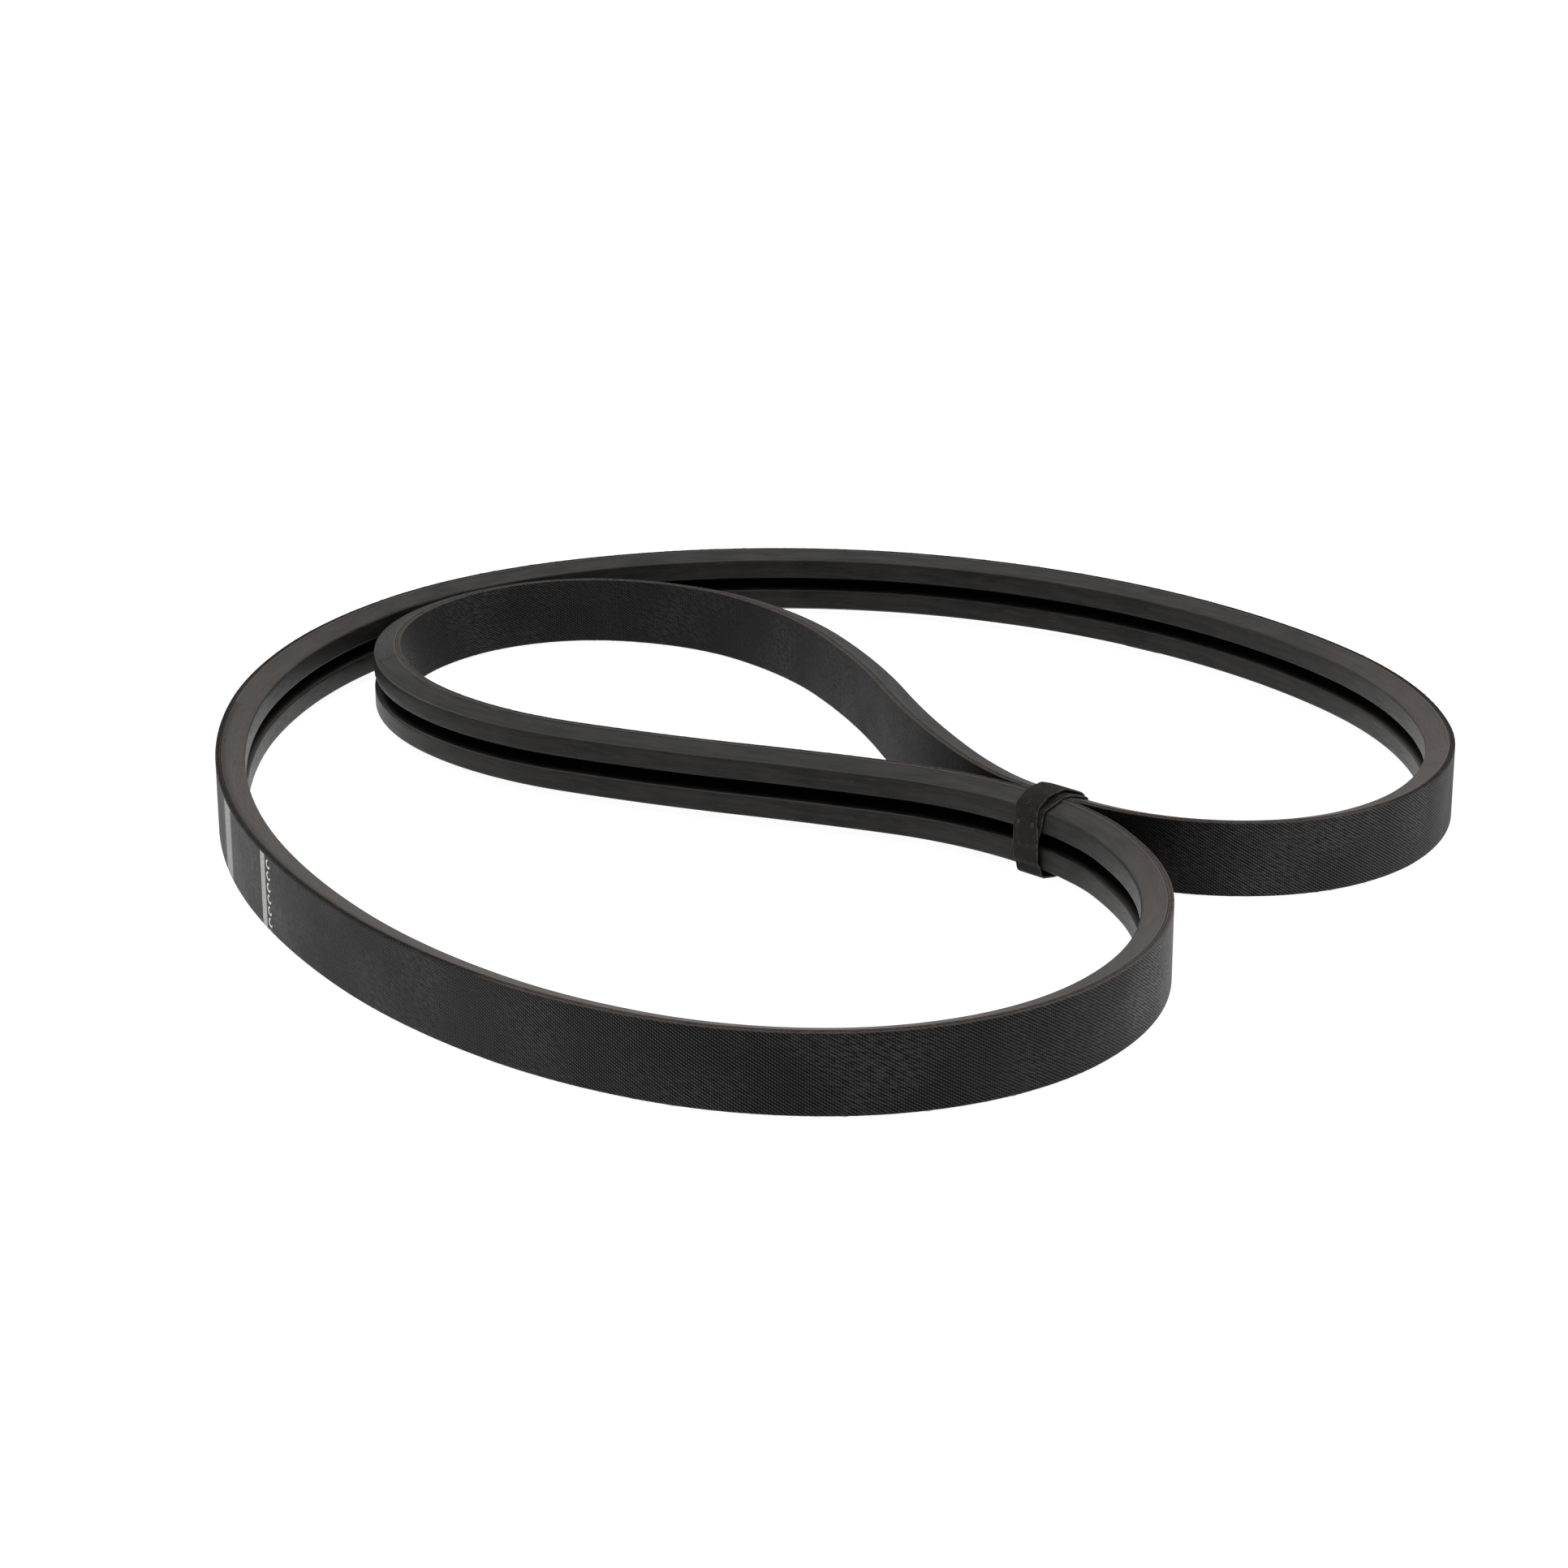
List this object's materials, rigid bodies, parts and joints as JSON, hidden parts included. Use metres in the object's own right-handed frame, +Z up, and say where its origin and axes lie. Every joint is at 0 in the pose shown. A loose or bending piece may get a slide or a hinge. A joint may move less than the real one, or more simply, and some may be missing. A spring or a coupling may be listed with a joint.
{
  "type": "v belt",
  "caption": "Endless joined V belt with ribs under a fabric tie band, folded on edge for storage and pinched back to back by a hook-and-loop strap.",
  "frame": {"origin": "bottom centre of the bounding box, on the surface that the folded belt stands on", "axes": "+Z up across the belt's width, +Y from the front lobe to the back of the folded belt, +X to the right"},
  "size_m": [0.6422, 0.7659, 0.0417],
  "materials": {
    "band_fabric": "black rubberised twill, matt, worn paler along its edges",
    "band_rubber": "black skim rubber, matt",
    "jacket_fabric": "dark grey rubber-proofed fabric, smooth and slightly shiny from the mould",
    "cushion_rubber": "black rubber",
    "cord_gum": "dark brown bonding rubber",
    "base_rubber": "black fibre-loaded rubber",
    "tension_cord": "twisted polyester cord, dipped tan",
    "strap_webbing": "black ribbed woven webbing",
    "strap_loop": "black brushed loop pile",
    "strap_hook": "black nylon hook tape",
    "strap_thread": "black sewing thread"
  },
  "bodies": {
    "belt": {"tie_band_outer_fabric": "band_fabric", "tie_band_rubber": "band_rubber", "tie_band_inner_fabric": "band_fabric", "lower_rib_fabric_jacket": "jacket_fabric", "lower_rib_cushion_rubber": "cushion_rubber", "lower_rib_upper_cord_gum": "cord_gum", "lower_rib_lower_cord_gum": "cord_gum", "lower_rib_base_rubber": "base_rubber", "lower_rib_tension_cord_1": "tension_cord", "lower_rib_tension_cord_2": "tension_cord", "lower_rib_tension_cord_3": "tension_cord", "lower_rib_tension_cord_4": "tension_cord", "lower_rib_tension_cord_5": "tension_cord", "lower_rib_tension_cord_6": "tension_cord", "lower_rib_tension_cord_7": "tension_cord", "lower_rib_tension_cord_8": "tension_cord", "lower_rib_tension_cord_9": "tension_cord", "upper_rib_fabric_jacket": "jacket_fabric", "upper_rib_cushion_rubber": "cushion_rubber", "upper_rib_upper_cord_gum": "cord_gum", "upper_rib_lower_cord_gum": "cord_gum", "upper_rib_base_rubber": "base_rubber", "upper_rib_tension_cord_1": "tension_cord", "upper_rib_tension_cord_2": "tension_cord", "upper_rib_tension_cord_3": "tension_cord", "upper_rib_tension_cord_4": "tension_cord", "upper_rib_tension_cord_5": "tension_cord", "upper_rib_tension_cord_6": "tension_cord", "upper_rib_tension_cord_7": "tension_cord", "upper_rib_tension_cord_8": "tension_cord", "upper_rib_tension_cord_9": "tension_cord"},
    "strap": {"strap_webbing": "strap_webbing", "strap_loop_pad": "strap_loop"},
    "strap_tab": {"strap_end_tab": "strap_webbing", "strap_hook_pad": "strap_hook", "strap_tab_stitching": "strap_thread"}
  },
  "joints": [
    {"name": "strap_slide", "type": "slide", "parent": "belt", "child": "strap", "axis": [0.7071, -0.7071, 0], "range_m": [-0.003, 0.003]},
    {"name": "tab_peel", "type": "hinge", "parent": "strap", "child": "strap_tab", "pos_m": [0.11922, -0.06778, 0.03333], "axis": [0.7071, -0.7071, 0], "range_deg": [0, 120]}
  ]
}
